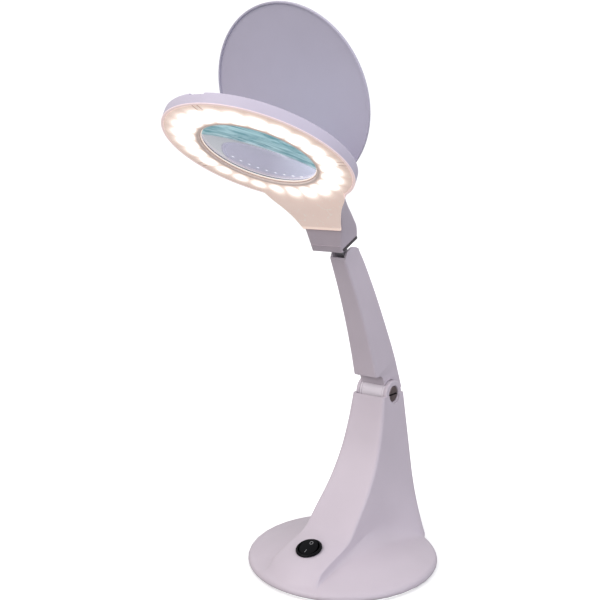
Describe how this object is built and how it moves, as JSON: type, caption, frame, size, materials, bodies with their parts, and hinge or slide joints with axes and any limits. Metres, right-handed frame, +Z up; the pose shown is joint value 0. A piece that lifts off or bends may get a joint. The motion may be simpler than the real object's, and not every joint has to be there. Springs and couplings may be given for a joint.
{
  "type": "magnifying lamp",
  "caption": "Table magnifying lamp: round weighted foot, ramped column, tilting arm and a lit ring head with a large lens under a hinged protective lid.",
  "frame": {"origin": "centre of the round foot on the table surface, at the underside of the anti-slip pad", "axes": "+Z up; -Y towards the user and the head; +X to the right, along every hinge axis"},
  "size_m": [0.1648, 0.2525, 0.4587],
  "materials": {
    "shell": "satin moulded",
    "lid": "satin moulded",
    "dark_plastic": "fine texture",
    "black_plastic": "semi-gloss",
    "clear_cover": "polished clear plastic",
    "lens_glass": "polished",
    "steel": "zinc plated",
    "nickel": "nickel plated",
    "brass": "plain",
    "rubber": "matt",
    "white_board": "white solder mask",
    "green_board": "green solder mask",
    "copper": "enamelled copper wire",
    "lead_sheath": "smooth",
    "can": "sleeved can",
    "acetal": "natural moulded"
  },
  "bodies": {
    "base": {"base_housing": "shell", "base_plate": "dark_plastic", "antislip_pad": "rubber", "ballast_weight": "steel", "base_screw_1": "steel", "base_screw_2": "steel", "base_screw_3": "steel", "base_screw_4": "steel", "driver_board": "green_board", "driver_capacitor": "can", "driver_inductor": "copper", "column_lead": "lead_sheath", "power_inlet": "black_plastic", "inlet_nut": "steel", "switch_body": "black_plastic", "switch_terminal_1": "brass", "switch_terminal_2": "brass", "lower_hinge_screw": "nickel", "lower_hinge_nut": "nickel", "lower_washer_right": "acetal", "lower_washer_left": "acetal"},
    "switch": {"switch_rocker": "black_plastic"},
    "arm": {"arm_shell": "shell", "arm_back_cover": "shell", "arm_screw_1": "steel", "arm_screw_2": "steel", "arm_knuckle": "acetal", "arm_bracket": "steel", "upper_hinge_pin": "steel", "arm_lead": "lead_sheath"},
    "head": {"neck_tongue": "steel", "upper_washer_right": "acetal", "upper_washer_left": "acetal", "neck_end_cap": "dark_plastic", "head_housing": "shell", "led_board": "white_board", "led_screw_1": "steel", "led_screw_2": "steel", "led_screw_3": "steel", "led_cover": "clear_cover", "lens_retainer": "acetal", "main_lens": "lens_glass", "lens_gasket": "rubber", "lid_hinge_pin": "steel"},
    "lid": {"lens_lid": "lid"}
  },
  "joints": [
    {"name": "arm_pivot", "type": "hinge", "parent": "base", "child": "arm", "pos_m": [0, 0.0552, 0.1395], "axis": [1, 0, 0], "range_deg": [-5, 40]},
    {"name": "head_tilt", "type": "hinge", "parent": "arm", "child": "head", "pos_m": [0, 0.0045, 0.26202], "axis": [1, 0, 0], "range_deg": [-45, 18]},
    {"name": "lid_hinge", "type": "hinge", "parent": "head", "child": "lid", "pos_m": [0, -0.04489, 0.32894], "axis": [1, 0, 0], "range_deg": [-50, 43]},
    {"name": "switch_rock", "type": "hinge", "parent": "base", "child": "switch", "pos_m": [0, -0.04709, 0.02614], "axis": [1, 0, 0], "range_deg": [-20, 0]}
  ]
}
